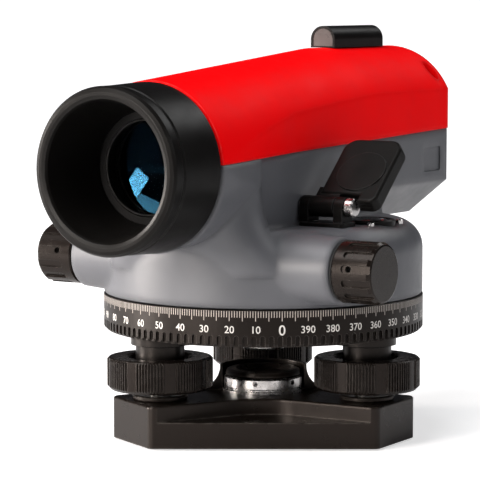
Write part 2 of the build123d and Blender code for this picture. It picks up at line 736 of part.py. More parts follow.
with BuildPart() as objective_hood:
    front = HOOD_FRONT_Y
    outline = [(front + 1.3, HOOD_MOUTH_R), (front + 0.4, HOOD_MOUTH_R + 0.5)]
    outline += [(front, HOOD_MOUTH_R + 1.6), (front, HOOD_R - 1.9)]
    outline += [(front + 0.5, HOOD_R - 0.7), (front + 1.6, HOOD_R)]
    outline += [(front + 4.9, HOOD_R), (front + 5.3, HOOD_R - 0.45)]
    outline += [(front + 6.3, HOOD_R - 0.45), (front + 6.7, HOOD_R)]
    outline += [(FRONT_Y - 2.0, BARREL_R - 0.4), (FRONT_Y, BARREL_R - 0.4)]
    outline += [(FRONT_Y, OBJ_BORE_R - 0.1), (CELL_Y, OBJ_BORE_R - 0.1), (CELL_Y, NOSE_R + 0.1)]
    outline += [(NOSE_Y - 0.1, NOSE_R + 0.1), (NOSE_Y - 0.1, HOOD_BOTTOM_R), (NOSE_Y - 0.8, HOOD_BOTTOM_R)]
    add(turned_along(outline))
keep(objective_hood, "objective_hood")

with BuildPart() as objective_cell:
    outline = [(NOSE_Y, CELL_LIP_R), (NOSE_Y, NOSE_R), (CELL_Y + 0.1, NOSE_R)]
    outline += [(CELL_Y + 0.1, OBJ_BORE_R - 0.1), (CELL_Y + 14, OBJ_BORE_R - 0.1)]
    outline += [(CELL_Y + 14, 17.0), (CELL_Y - 1, 17.0), (CELL_Y - 1, 15.6), (CELL_Y - 2, 15.6)]
    outline += [(CELL_Y - 2, LENS_R), (NOSE_Y + 0.9, LENS_R), (NOSE_Y + 0.9, CELL_LIP_R)]
    add(turned_along(outline))
keep(objective_cell, "objective_cell")

with BuildPart() as objective_lens:
    edge_r = LENS_R - 0.05
    bulge = LENS_BULGE_R - sqrt(LENS_BULGE_R**2 - edge_r**2)
    edge_y = NOSE_Y + 1.4
    back_y = CELL_Y - 2.1
    with BuildSketch(along()):
        with BuildLine():
            Polyline((edge_y, edge_r), (back_y, edge_r), (back_y, 0), (edge_y - bulge, 0))
            RadiusArc((edge_y - bulge, 0), (edge_y, edge_r), LENS_BULGE_R)
        make_face()
    revolve(axis=Axis((0, 0, AXIS_Z), (0, 1, 0)))
keep(objective_lens, "objective_lens")

with BuildPart() as inner_tube:
    add(tube_along(TUBE_R + 1.4, TUBE_R, CELL_Y + 14.1, TUBE_END_Y))
keep(inner_tube, "inner_tube")

# ---------------------------------------------------------------- focusing

with BuildPart() as focus_cell:
    add(tube_along(TUBE_R - RUN, 14.0, FCELL_Y, FCELL_Y + 14))
    # rack reaching back under the pinion
    rack_top = FOCUS_Z - PINION_R - 0.3
    with BuildSketch(Plane(origin=(-17.2, 0, rack_top - 1), x_dir=(0, 1, 0), z_dir=(1, 0, 0))):
        with Locations((6, 0)):
            Rectangle(36, 2.0)
    extrude(amount=2.2)
keep(focus_cell, "focus_cell")

with BuildPart() as focus_lens:
    outline = [(FCELL_Y + 4, 0), (FCELL_Y + 3, 13.95), (FCELL_Y + 9, 13.95), (FCELL_Y + 6.5, 0)]
    add(turned_along(outline))
keep(focus_lens, "focus_lens")

with BuildPart() as focus_shaft:
    outline = [(-44, 0), (-44, FSHAFT_R), (-23, FSHAFT_R), (-23, 2.0), (-17.6, 2.0)]
    outline += [(-17.6, PINION_R), (-14.6, PINION_R), (-14.6, 0)]
    add(turned_across(outline, FOCUS_Y, FOCUS_Z))
keep(focus_shaft, "focus_shaft")

with BuildPart() as focus_knob:
    outline = [(-FOCUS_X0, FSHAFT_R), (-FOCUS_X0, FOCUS_R - 0.5), (-FOCUS_X0 - 0.5, FOCUS_R)]
    outline += [(-FOCUS_X1 + 1.8, FOCUS_R), (-FOCUS_X1 + 0.4, FOCUS_R - 0.7)]
    outline += [(-FOCUS_X1, FOCUS_R - 1.8), (-FOCUS_X1 + 0.8, FOCUS_R - 3.2), (-FOCUS_X1 + 0.8, 0)]
    outline += [(-44, 0), (-44, FSHAFT_R)]
    add(turned_across(outline, FOCUS_Y, FOCUS_Z))
    groove_planes = []
    for k in range(FOCUS_RIBS):
        angle = 2 * pi * k / FOCUS_RIBS
        out = (0, cos(angle), sin(angle))
        centre = (-(FOCUS_X0 + FOCUS_X1) / 2, FOCUS_Y + FOCUS_R * out[1], FOCUS_Z + FOCUS_R * out[2])
        groove_planes.append(Plane(origin=centre, x_dir=(1, 0, 0), z_dir=out))
    with BuildSketch(*groove_planes):
        SlotOverall(FOCUS_X1 - FOCUS_X0 - 5, 1.3)
    extrude(amount=0.7, both=True, mode=Mode.SUBTRACT)
keep(focus_knob, "focus_knob")

# ---------------------------------------------------------------- compensator

with BuildPart() as compensator_frame:
    frame_y0, frame_y1 = PENDULUM_Y - 16, PENDULUM_Y + 16
    with BuildSketch(section(frame_y0)):
        with Locations((0, 97.5)):
            Rectangle(27, 35)
        with Locations((0, 99.5)):
            Rectangle(23.6, 35, mode=Mode.SUBTRACT)
    extrude(amount=frame_y0 - frame_y1)
    with BuildSketch(Plane(origin=(0, PENDULUM_Y, PIVOT_Z), z_dir=(1, 0, 0))):
        Circle(PIVOT_R + RUN)
    extrude(amount=20, both=True, mode=Mode.SUBTRACT)
keep(compensator_frame, "compensator_frame")

with BuildPart() as fixed_prisms:
    for y0, y1 in ((frame_y0 + 0.5, frame_y0 + 8), (frame_y1 - 8, frame_y1 - 0.5)):
        with BuildSketch(Plane.YZ.offset(-9)):
            Polygon((y0, 82), (y1, 82), (y1, 105), (y0, 102), align=None)
        extrude(amount=18)
keep(fixed_prisms, "fixed_prisms")

with BuildPart() as pendulum:
    # yoke on the pivot, with two cheeks round the hanging prism
    with BuildSketch(Plane.YZ.offset(-10)):
        with Locations((PENDULUM_Y, (PIVOT_Z + 104) / 2)):
            Rectangle(5, PIVOT_Z - 104 + 4)
    extrude(amount=20)
    for x in (-10, 8):
        with BuildSketch(Plane.YZ.offset(x)):
            with Locations((PENDULUM_Y, 96)):
                RectangleRounded(12, 22, 1.5)
        extrude(amount=2)
    with BuildSketch(Plane(origin=(0, PENDULUM_Y, PIVOT_Z), z_dir=(1, 0, 0))):
        Circle(PIVOT_R)
    extrude(amount=13.5, both=True)
keep(pendulum, "pendulum")

with BuildPart() as pendulum_prism:
    with BuildSketch(Plane.YZ.offset(-8)):
        Polygon(
            (PENDULUM_Y - 6, 87), (PENDULUM_Y + 6, 87), (PENDULUM_Y + 4, 101), (PENDULUM_Y - 4, 101),
            align=None,
        )
    extrude(amount=16)
keep(pendulum_prism, "pendulum_prism")

# ---------------------------------------------------------------- eyepiece end

with BuildPart() as eyepiece_tube:
    outline = [(REAR_Y - 16, 9.2), (REAR_Y - 16, EYE_TUBE_R), (REAR_Y + 0.1, EYE_TUBE_R)]
    outline += [(REAR_Y + 0.1, 17.4), (REAR_Y + 0.7, 18.0), (FLANGE_Y1 - 0.5, 18.0), (FLANGE_Y1, 17.5)]
    outline += [(FLANGE_Y1, EYE_TUBE_R), (EYE_TUBE_Y1, EYE_TUBE_R), (EYE_TUBE_Y1, 9.2)]
    add(turned_along(outline))
    with BuildSketch(section(FLANGE_Y1 - 1.2)):
        with Locations((0, AXIS_Z)):
            with PolarLocations(16.4, 4, start_angle=45):
                Circle(1.05)
    extrude(amount=-2, mode=Mode.SUBTRACT)
keep(eyepiece_tube, "eyepiece_tube")

with BuildPart() as reticle:
    with BuildSketch(section(REAR_Y - 15)):
        with Locations((0, AXIS_Z)):
            Circle(9.15)
    extrude(amount=-1.5)
keep(reticle, "reticle")

with BuildPart() as diopter_ring:
    outline = [(DIOPTER_Y0, EYE_TUBE_R + RUN), (DIOPTER_Y0, DIOPTER_R - 0.6)]
    outline += [(DIOPTER_Y0 + 0.6, DIOPTER_R), (DIOPTER_Y1 - 0.8, DIOPTER_R)]
    outline += [(DIOPTER_Y1, DIOPTER_R - 0.8), (DIOPTER_Y1, 9.0), (EYE_TUBE_Y1 + 0.3, 9.0)]
    outline += [(EYE_TUBE_Y1 + 0.3, EYE_TUBE_R + RUN)]
    add(turned_along(outline))
    with BuildSketch(section(DIOPTER_Y0 + 2)):
        with Locations((0, AXIS_Z)):
            with PolarLocations(DIOPTER_R + 0.1, 48):
                Circle(0.55)
    extrude(amount=-20, mode=Mode.SUBTRACT)
keep(diopter_ring, "diopter_ring")

with BuildPart() as eyepiece_lens:
    outline = [(EYE_TUBE_Y1 + 0.9, 0), (EYE_TUBE_Y1 + 1.2, 8.95), (EYE_TUBE_Y1 + 3.2, 8.95)]
    outline += [(EYE_TUBE_Y1 + 4.2, 0)]
    add(turned_along(outline))
keep(eyepiece_lens, "eyepiece_lens")

with BuildPart() as eyecup:
    outline = [(DIOPTER_Y1, 9.4), (DIOPTER_Y1, 13.6), (DIOPTER_Y1 + 2.5, 13.2)]
    outline += [(EYECUP_Y1 - 1.2, 14.2), (EYECUP_Y1, 13.9), (EYECUP_Y1, 12.6)]
    outline += [(EYECUP_Y1 - 1.6, 11.6)]
    add(turned_along(outline))
keep(eyecup, "eyecup")

# ---------------------------------------------------------------- tangent screw

with BuildPart() as tangent_shaft:
    outline = [(-60, 0), (-60, TSHAFT_R), (-9, TSHAFT_R), (-8, WORM_R), (8, WORM_R), (9, TSHAFT_R)]
    outline += [(60, TSHAFT_R), (60, 0)]
    add(turned_across(outline, TANGENT_Y, TANGENT_Z))
keep(tangent_shaft, "tangent_shaft")

for side, label in ((-1, "left"), (1, "right")):
    with BuildPart() as tangent_knob:
        outline = [(side * TKNOB_X0, TSHAFT_R), (side * TKNOB_X0, TKNOB_R - 0.5)]
        outline += [(side * (TKNOB_X0 + 0.5), TKNOB_R), (side * (TKNOB_X1 - 1.3), TKNOB_R)]
        outline += [(side * (TKNOB_X1 - 0.3), TKNOB_R - 0.7), (side * TKNOB_X1, TKNOB_R - 1.3)]
        outline += [(side * TKNOB_X1, 0), (side * 60, 0), (side * 60, TSHAFT_R)]
        add(turned_across(outline, TANGENT_Y, TANGENT_Z))
        # flutes, open at the outer face
        flute_start = TKNOB_X0 + 3.6
        flute_planes = []
        for k in range(FLUTES):
            angle = radians(180 - FLUTE_ANGLE + 360 * k / FLUTES)
            out = (0, cos(angle), sin(angle))
            centre = (
                side * (flute_start + 10),
                TANGENT_Y + TKNOB_R * out[1],
                TANGENT_Z + TKNOB_R * out[2],
            )
            flute_planes.append(Plane(origin=centre, x_dir=(1, 0, 0), z_dir=out))
        with BuildSketch(*flute_planes):
            SlotOverall(20, 2.6)
        extrude(amount=0.75, both=True, mode=Mode.SUBTRACT)
        # hole of the set screw
        with BuildSketch(flute_planes[0].offset(-(TKNOB_R - TSHAFT_R))):
            with Locations((side * -7.6, 0)):
                Circle(1.05)
        extrude(amount=10, mode=Mode.SUBTRACT)
    keep(tangent_knob, f"tangent_knob_{label}")

with BuildPart() as tangent_set_screws:
    angle = radians(180 - FLUTE_ANGLE)
    out = (0, cos(angle), sin(angle))
    foot = (TANGENT_Y + TSHAFT_R * out[1], TANGENT_Z + TSHAFT_R * out[2])
    for side in (-1, 1):
        with BuildSketch(Plane(origin=(side * (flute_start + 2.4), *foot), z_dir=out)):
            Circle(1.0)
        extrude(amount=3.6)
keep(tangent_set_screws, "tangent_set_screws")

with BuildPart() as tangent_seals:
    for side in (-1, 1):
        ring = [(side * BOSS_X, TSHAFT_R + 0.2), (side * BOSS_X, 9.6)]
        ring += [(side * (BOSS_X + 0.6), 9.6), (side * (BOSS_X + 0.6), TSHAFT_R + 0.2)]
        add(turned_across(ring, TANGENT_Y, TANGENT_Z))
keep(tangent_seals, "tangent_seals")

# ---------------------------------------------------------------- circular vial

with BuildPart() as vial_housing:
    bore = VIAL_R - 2.2
    outline = [(bore, 69), (0, 69), (0, 66.5), (VIAL_R - 0.9, 66.5), (VIAL_R - 0.9, VIAL_FOOT + 0.1)]
    outline += [(VIAL_R - 0.1, VIAL_FOOT + 0.1), (VIAL_R - 0.1, VIAL_TOP - 0.5)]
    outline += [(VIAL_R - 0.6, VIAL_TOP), (bore + 0.7, VIAL_TOP), (bore, VIAL_TOP - 0.7)]
    add(turned_up(outline, VIAL_X, VIAL_Y))
keep(vial_housing, "vial_housing")

with BuildPart() as vial_glass:
    outline = [(0, 69), (bore - 0.05, 69), (bore - 0.05, VIAL_TOP - 0.6)]
    outline += [(bore - 1.6, VIAL_TOP), (0, VIAL_TOP + 0.4)]
    add(turned_up(outline, VIAL_X, VIAL_Y))
keep(vial_glass, "vial_glass")

with BuildPart() as vial_screws:
    for x, y in vial_screw_spots:
        add(tube_up(1.25, 0.4, VIAL_SCREW_FOOT, VIAL_TOP - 0.5, x, y))
keep(vial_screws, "vial_screws")

# ---------------------------------------------------------------- mirror over the vial


def hinge_ring(x0, x1):
    """One knuckle of the mirror's hinge, bored for the pin."""
    outline = [(x0, PIN_R + RUN), (x0, HINGE_R), (x1, HINGE_R), (x1, PIN_R + RUN)]
    return turned_across(outline, HINGE_Y, HINGE_Z)


with BuildPart() as mirror_bracket:
    with BuildSketch(Plane.XY.offset(DECK_Z)):
        with Locations(((PIN_X0 + HEAD_X0) / 2 + 1, HINGE_Y - 0.5)):
            RectangleRounded(HEAD_X0 - PIN_X0, 10.0, 1.5)
    extrude(amount=1.4)
    for x0, x1 in ((PIN_X0 + 0.5, KNUCKLE_X0 - 0.3), (KNUCKLE_X1 + 0.3, HEAD_X0 - 0.1)):
        with BuildSketch(Plane.YZ.offset(x0)):
            with Locations((HINGE_Y, (DECK_Z + HINGE_Z) / 2)):
                Rectangle(2 * HINGE_R, HINGE_Z - DECK_Z)
        extrude(amount=x1 - x0)
        with BuildSketch(Plane.YZ.offset(x0)):
            with Locations((HINGE_Y, HINGE_Z)):
                Circle(HINGE_R)
        extrude(amount=x1 - x0)
    with BuildSketch(Plane.YZ.offset(20)):
        with Locations((HINGE_Y, HINGE_Z)):
            Circle(PIN_R)
    extrude(amount=40, mode=Mode.SUBTRACT)
keep(mirror_bracket, "mirror_bracket")

with BuildPart() as hinge_pin:
    outline = [(PIN_X0, 0), (PIN_X0, 2.9), (PIN_X0 + 0.4, 2.9), (PIN_X0 + 0.4, PIN_R)]
    outline += [(HEAD_X0, PIN_R), (HEAD_X0, 3.0), (HEAD_X0 + 0.3, 3.2)]
    outline += [(PIN_X1 - 0.5, 3.2), (PIN_X1, 2.7), (PIN_X1, 0)]
    add(turned_across(outline, HINGE_Y, HINGE_Z))
keep(hinge_pin, "hinge_pin")

lid_turn = radians(LID_OPEN)
lid_out = (0, -sin(lid_turn), cos(lid_turn))
# plane of the lid's middle: local X along the hinge, local Y from the hinge to the tip
lid_plane = Plane(origin=((LID_X0 + LID_X1) / 2, HINGE_Y, HINGE_Z), x_dir=(1, 0, 0), z_dir=lid_out)
mirror_middle = (VIAL_X - (LID_X0 + LID_X1) / 2, 16.4)

with BuildPart() as mirror_lid:
    near = HINGE_R + 0.5
    with BuildSketch(lid_plane.offset(-LID_T / 2)) as plate:
        with Locations((0, (LID_NEAR + LID_LENGTH) / 2)):
            Rectangle(LID_X1 - LID_X0, LID_LENGTH - LID_NEAR)
        fillet(plate.vertices().group_by(Axis.Y)[-1], radius=5.0)
        fillet(plate.vertices().group_by(Axis.Y)[0].sort_by(Axis.X)[-1], radius=2.6)
        # room for the hinge
        with Locations((PIN_X1 + 0.5 - (LID_X0 + LID_X1) / 2, 0)):
            Rectangle(30, 2 * near, align=(Align.MAX, Align.CENTER), mode=Mode.SUBTRACT)
    extrude(amount=LID_T)
    fillet(mirror_lid.faces().filter_by(lid_plane).sort_by(Axis.Z)[-1].edges(), radius=0.9)
    # raised disc on the outer face
    with BuildSketch(lid_plane.offset(LID_T / 2)):
        with Locations((0.8, 14.0)):
            Circle(8.7)
    extrude(amount=0.5)
    # knuckle, and the tongue that joins it to the plate
    knuckle_mid = (KNUCKLE_X0 + KNUCKLE_X1) / 2 - (LID_X0 + LID_X1) / 2
    with BuildSketch(lid_plane.offset(-LID_T / 2)):
        with Locations((knuckle_mid, (near + 3) / 2)):
            Rectangle(KNUCKLE_X1 - KNUCKLE_X0, near + 3)
    extrude(amount=LID_T - 0.6)
    add(hinge_ring(KNUCKLE_X0, KNUCKLE_X1))
    with BuildSketch(Plane.YZ.offset(20)):
        with Locations((HINGE_Y, HINGE_Z)):
            Circle(PIN_R + RUN)
    extrude(amount=40, mode=Mode.SUBTRACT)
    # seat of the mirror on the underside
    with BuildSketch(lid_plane.offset(-LID_T / 2)):
        with Locations(mirror_middle):
            RectangleRounded(14.4, 20.4, 1.2)
    extrude(amount=0.9, mode=Mode.SUBTRACT)
keep(mirror_lid, "mirror_lid")

with BuildPart() as mirror_glass:
    with BuildSketch(lid_plane.offset(-LID_T / 2 + 0.1)):
        with Locations(mirror_middle):
            RectangleRounded(14, 20, 1.0)
    extrude(amount=0.75)
keep(mirror_glass, "mirror_glass")

# ---------------------------------------------------------------- peep sight

def sight_arch(inset, y):
    """Rounded section of the sight."""
    half, foot, shoulder = SIGHT_HALF_W - inset, COVER_TOP + inset * 0.5, SIGHT_SHOULDER
    with BuildSketch(section(y)) as arch:
        with BuildLine():
            Polyline((-half, shoulder), (-half, foot), (half, foot), (half, shoulder))
            ThreePointArc((half, shoulder), (0, SIGHT_TOP - inset), (-half, shoulder))
        make_face()
    return arch.sketch


with BuildPart() as sight_body:
    extrude(sight_arch(0, SIGHT_Y0), amount=SIGHT_Y0 - SIGHT_Y1)
    rear_arch = sight_body.faces().sort_by(Axis.Y)[-1].edges().filter_by(GeomType.CIRCLE)
    chamfer(rear_arch, length=1.4)
    # tunnel that is looked through, and the window's seat
    extrude(sight_arch(2.0, SIGHT_Y0), amount=SIGHT_Y0 - SIGHT_Y1, mode=Mode.SUBTRACT)
    extrude(sight_arch(0.9, SIGHT_Y0), amount=-1.6, mode=Mode.SUBTRACT)
keep(sight_body, "sight_body")

with BuildPart() as sight_window:
    extrude(sight_arch(0.95, SIGHT_Y0 + 0.15), amount=-1.4)
keep(sight_window, "sight_window")
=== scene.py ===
"""Looks of the automatic level: materials, engraved figures, glass and studio light."""

import json
from math import cos, pi, radians, sin, sqrt

import bmesh
import bpy
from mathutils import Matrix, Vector

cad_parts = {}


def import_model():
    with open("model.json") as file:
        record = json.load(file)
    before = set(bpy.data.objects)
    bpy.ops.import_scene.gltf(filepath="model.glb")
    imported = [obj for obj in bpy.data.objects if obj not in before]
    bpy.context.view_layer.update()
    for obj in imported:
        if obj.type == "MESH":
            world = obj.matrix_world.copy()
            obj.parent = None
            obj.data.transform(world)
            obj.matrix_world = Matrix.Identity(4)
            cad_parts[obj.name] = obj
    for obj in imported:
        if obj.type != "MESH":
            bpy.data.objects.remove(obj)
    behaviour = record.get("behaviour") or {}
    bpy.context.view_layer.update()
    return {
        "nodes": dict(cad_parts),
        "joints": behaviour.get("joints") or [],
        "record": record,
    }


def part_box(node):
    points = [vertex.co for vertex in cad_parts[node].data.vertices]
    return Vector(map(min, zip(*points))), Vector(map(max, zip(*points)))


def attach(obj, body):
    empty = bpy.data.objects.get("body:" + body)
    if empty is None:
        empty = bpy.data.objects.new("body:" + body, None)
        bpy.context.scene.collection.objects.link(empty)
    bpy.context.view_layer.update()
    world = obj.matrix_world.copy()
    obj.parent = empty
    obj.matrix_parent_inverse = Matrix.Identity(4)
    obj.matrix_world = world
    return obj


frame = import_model()
NODES = frame["nodes"]
JOINTS = {joint["name"]: joint for joint in frame["joints"]}
MM = 0.001

# ---------------------------------------------------------------- places taken from the frame

DIOPTER_Y, TELESCOPE_Z = JOINTS["diopter_turn"]["pos_m"][1:]
TELESCOPE_AXIS = (0, 0, TELESCOPE_Z)
CIRCLE_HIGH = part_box("horizontal_circle")[1]
CIRCLE_R = CIRCLE_HIGH.x
VIAL_LOW, VIAL_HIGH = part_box("vial_glass")
VIAL_CENTRE = (VIAL_LOW + VIAL_HIGH) / 2
LENS_LOW, LENS_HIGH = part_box("objective_lens")
CELL_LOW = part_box("objective_cell")[0]
BUSH_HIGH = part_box("tripod_bush")[1]
DIOPTER_LOW, DIOPTER_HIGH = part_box("diopter_ring")

# ---------------------------------------------------------------- material building blocks

CLOUD = 18 * MM  # sizes of the patches that vary over a finish
SMUDGE = 9 * MM
RUB_AND_HIGHLIGHT = 3 * MM
TOOL_MARK = 0.4 * MM
TARNISH = 4 * MM
POLISH = 2 * MM
WIPE = 6 * MM
EDGE_FULL, EDGE_START = 0.72, 0.985  # cosines between the true and the rounded normal
COLOUR_A, COLOUR_B, COLOUR_RESULT = 6, 7, 2  # sockets of a Mix node set to colours
BEVEL_SAMPLES = 4


class Shader:
    """A node tree with short calls for the nodes that the materials here use."""

    def __init__(self, name):
        self.material = bpy.data.materials.new(name)
        self.material.use_nodes = True
        self.tree = self.material.node_tree
        self.bsdf = self.tree.nodes["Principled BSDF"]
        self.place = self.node("ShaderNodeTexCoord").outputs["Object"]

    def node(self, kind, **settings):
        made = self.tree.nodes.new(kind)
        for key, value in settings.items():
            setattr(made, key, value)
        return made

    def link(self, source, target):
        self.tree.links.new(source, target)

    def noise(self, size, detail=4.0, roughness=0.55, stretch=None):
        """Cloudy value from 0 to 1 with features about `size` metres across."""
        made = self.node("ShaderNodeTexNoise")
        made.inputs["Scale"].default_value = 1.0 / size
        made.inputs["Detail"].default_value = detail
        made.inputs["Roughness"].default_value = roughness
        source = self.place
        if stretch:
            mapping = self.node("ShaderNodeMapping")
            mapping.inputs["Scale"].default_value = stretch
            self.link(source, mapping.inputs["Vector"])
            source = mapping.outputs["Vector"]
        self.link(source, made.inputs["Vector"])
        return made.outputs["Fac"]

    def remap(self, value, low, high, from_low=0.3, from_high=0.7):
        """Stretch a value's middle range to run from low to high."""
        made = self.node("ShaderNodeMapRange")
        made.inputs["From Min"].default_value = from_low
        made.inputs["From Max"].default_value = from_high
        made.inputs["To Min"].default_value = low
        made.inputs["To Max"].default_value = high
        self.link(value, made.inputs["Value"])
        return made.outputs["Result"]

    def mix(self, factor, first, second):
        """Colour mix; first and second are colours or sockets."""
        made = self.node("ShaderNodeMix", data_type="RGBA")
        self.link(factor, made.inputs["Factor"])
        for slot, value in ((COLOUR_A, first), (COLOUR_B, second)):
            if isinstance(value, tuple):
                made.inputs[slot].default_value = (*value, 1.0)
            else:
                self.link(value, made.inputs[slot])
        return made.outputs[COLOUR_RESULT]

    def times(self, first, second):
        """Product of a socket and a socket or number."""
        made = self.node("ShaderNodeMath", operation="MULTIPLY")
        self.link(first, made.inputs[0])
        if isinstance(second, float):
            made.inputs[1].default_value = second
        else:
            self.link(second, made.inputs[1])
        return made.outputs[0]

    def rounded(self, radius):
        """Surface normal with the edges rounded off by a small radius."""
        made = self.node("ShaderNodeBevel", samples=BEVEL_SAMPLES)
        made.inputs["Radius"].default_value = radius
        return made.outputs["Normal"]

    def edges(self, radius):
        """1 at edges and corners, 0 on open surfaces."""
        dot = self.node("ShaderNodeVectorMath", operation="DOT_PRODUCT")
        self.link(self.rounded(radius), dot.inputs[0])
        self.link(self.node("ShaderNodeNewGeometry").outputs["Normal"], dot.inputs[1])
        return self.remap(dot.outputs["Value"], 1.0, 0.0, EDGE_FULL, EDGE_START)

    def bump(self, height, distance, normal):
        """The given normal, made uneven by a height value."""
        made = self.node("ShaderNodeBump")
        made.inputs["Distance"].default_value = distance
        self.link(height, made.inputs["Height"])
        self.link(normal, made.inputs["Normal"])
        return made.outputs["Normal"]

    def set(self, **values):
        """Constant values on the shader's own sockets."""
        for key, value in values.items():
            self.bsdf.inputs[key.replace("_", " ")].default_value = value

    def feed(self, **sockets):
        """Textures for the shader's own sockets."""
        for key, socket in sockets.items():
            self.link(socket, self.bsdf.inputs[key.replace("_", " ")])


def enamel(name, colour, roughness, grain=0.0004, grain_height=6e-6, wear_and_highlight=(0.3, 0.3, 0.3),
           wear_and_highlight_amount=0.25, variation=0.06, edge=0.0003, shine=0.5, soften=None,
           tint=(1.0, 1.0, 1.0)):
    """Sprayed or moulded surface: fine grain, cloudy gloss and edges lightened, partly rubbed wear
    and partly a painted highlight along rims; soften is the radius of the blends between its faces,
    when that is larger than the edge's."""
    made = Shader(name)
    dark = tuple(channel * (1 - variation) for channel in colour)
    light = tuple(min(1.0, channel * (1 + variation)) for channel in colour)
    cloud = made.noise(CLOUD)
    fine = made.noise(grain, detail=2.0)
    tone = made.mix(made.remap(cloud, 0.0, 1.0), dark, light)
    # edges lightened towards the edge colour: rubbed wear, and also a painted highlight along rims
    rubbed_and_highlit = made.times(made.edges(edge * 1.6), made.remap(made.noise(RUB_AND_HIGHLIGHT), 0.0, wear_and_highlight_amount))
    made.feed(Base_Color=made.mix(rubbed_and_highlit, tone, wear_and_highlight))
    smudge = made.noise(SMUDGE, detail=6.0, roughness=0.7)
    made.feed(Roughness=made.remap(smudge, roughness * 0.82, min(1.0, roughness * 1.2)))
    made.feed(Normal=made.bump(fine, grain_height, made.rounded(soften or edge)))
    made.set(Specular_IOR_Level=shine, Specular_Tint=(*tint, 1.0))
    return made.material


def metal(name, colour, roughness, brush=None, tarnish=(0.2, 0.17, 0.14), tarnish_amount=0.25,
          edge=0.00015):
    """Bare metal with fine tool marks and a little tarnish."""
    made = Shader(name)
    mark_height = 3e-6
    marks = made.noise(TOOL_MARK, detail=3.0, stretch=brush)
    stain = made.remap(made.noise(TARNISH, detail=6.0, roughness=0.7), 0.0, tarnish_amount)
    gloss = made.noise(POLISH, detail=5.0)
    made.feed(Base_Color=made.mix(stain, colour, tarnish))
    made.feed(Roughness=made.remap(gloss, roughness * 0.7, roughness * 1.5))
    made.feed(Normal=made.bump(marks, mark_height, made.rounded(edge)))
    made.set(Metallic=1.0)
    return made.material


def glass(name, colour, roughness=0.02, ior=1.52):
    """Clear or tinted glass with faint cleaning marks."""
    made = Shader(name)
    marks = made.noise(WIPE, detail=5.0)
    dull = tuple(channel * 0.94 for channel in colour)
    made.feed(Roughness=made.remap(marks, roughness * 0.5, roughness * 2.0))
    made.feed(Base_Color=made.mix(made.noise(0.01), colour, dull))
    made.set(Transmission_Weight=1.0, IOR=ior)
    return made.material


def coated_glass(name, reflect):
    """Dark inner lens surface that mirrors its surroundings in the coating's colour; above the
    telescope's axis that colour is darkened to a painted shade, so the upper half shows dark
    instead of mirroring the floor."""
    made = Shader(name)
    shade_low, shade_high = TELESCOPE_Z - 2.5 * MM, TELESCOPE_Z + 1.0 * MM
    cloud = made.remap(made.noise(0.012), 0.0, 1.0)
    deep = tuple(channel * 0.75 for channel in reflect)
    shaded = tuple(channel * 0.05 for channel in reflect)
    # painted shade: above the axis the mirrored colour drops to a twentieth of the coating's
    apart = made.node("ShaderNodeSeparateXYZ")
    made.link(made.place, apart.inputs[0])
    above = made.remap(apart.outputs["Z"], 0.0, 1.0, shade_low, shade_high)
    made.feed(Base_Color=made.mix(above, made.mix(cloud, reflect, deep), shaded))
    made.feed(Roughness=made.remap(made.noise(0.004, detail=5.0), 0.008, 0.02))
    made.set(Metallic=1.0)
    return made.material


def ink(name, colour):
    """Filled engraving: matt, a little uneven."""
    made = Shader(name)
    worn = made.remap(made.noise(0.0012, detail=5.0), 0.0, 1.0)
    made.feed(Base_Color=made.mix(worn, tuple(c * 0.8 for c in colour), colour))
    made.feed(Roughness=made.remap(made.noise(0.0006), 0.5, 0.75))
    return made.material


GREY = (0.096, 0.099, 0.110)
RED = (0.97, 0.0004, 0.0022)
BROWN_SHEEN = (1.0, 0.88, 0.81)  # tint of the blacks' highlights
